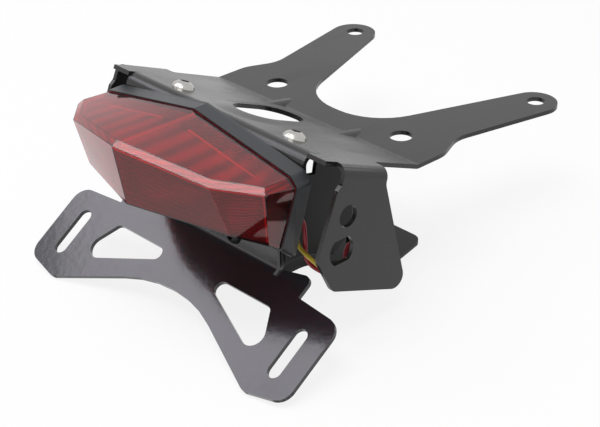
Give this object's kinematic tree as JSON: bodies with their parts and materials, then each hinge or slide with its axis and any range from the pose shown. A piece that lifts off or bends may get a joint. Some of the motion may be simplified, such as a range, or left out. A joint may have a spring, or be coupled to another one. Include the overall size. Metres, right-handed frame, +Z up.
{
  "type": "tail tidy",
  "caption": "Folded steel motorcycle tail tidy with forward arms, side ears, an LED tail light and a sloped number plate bracket.",
  "frame": {"origin": "midway between the two large holes, on the top face of the front plate", "axes": "+X right, +Y forward on the motorcycle, +Z up, square to the front plate"},
  "size_m": [0.1724, 0.2069, 0.0957],
  "materials": {
    "bracket_coat": "satin black powder coat",
    "plate_coat": "gloss black coat",
    "black_plastic": "satin moulded plastic",
    "lens_red": "clear red moulding",
    "soft_black": "matt",
    "board_green": "satin",
    "led_body": "clear tinted",
    "bright_plastic": "metallised",
    "zinc": "zinc plated",
    "stainless": "polished",
    "black_screw": "black oxide",
    "yellow_wire": "satin",
    "red_wire": "satin",
    "brass": "plain"
  },
  "bodies": {
    "root": {"main_bracket": "bracket_coat", "light_bracket": "bracket_coat", "plate_bracket": "plate_coat", "light_housing": "black_plastic", "connector_body": "black_plastic", "light_lens": "lens_red", "light_seal": "soft_black", "wire_gland": "soft_black", "connector_cap": "soft_black", "light_board": "board_green", "light_leds": "led_body", "light_reflector": "bright_plastic", "light_studs": "zinc", "stud_washers": "zinc", "stud_nuts": "zinc", "tray_washers": "zinc", "tray_nuts": "zinc", "stem_washers": "zinc", "stem_nuts": "zinc", "tray_screws": "stainless", "stem_screws": "black_screw", "wire_yellow": "yellow_wire", "wire_red": "red_wire", "connector_pins": "brass"}
  },
  "joints": []
}
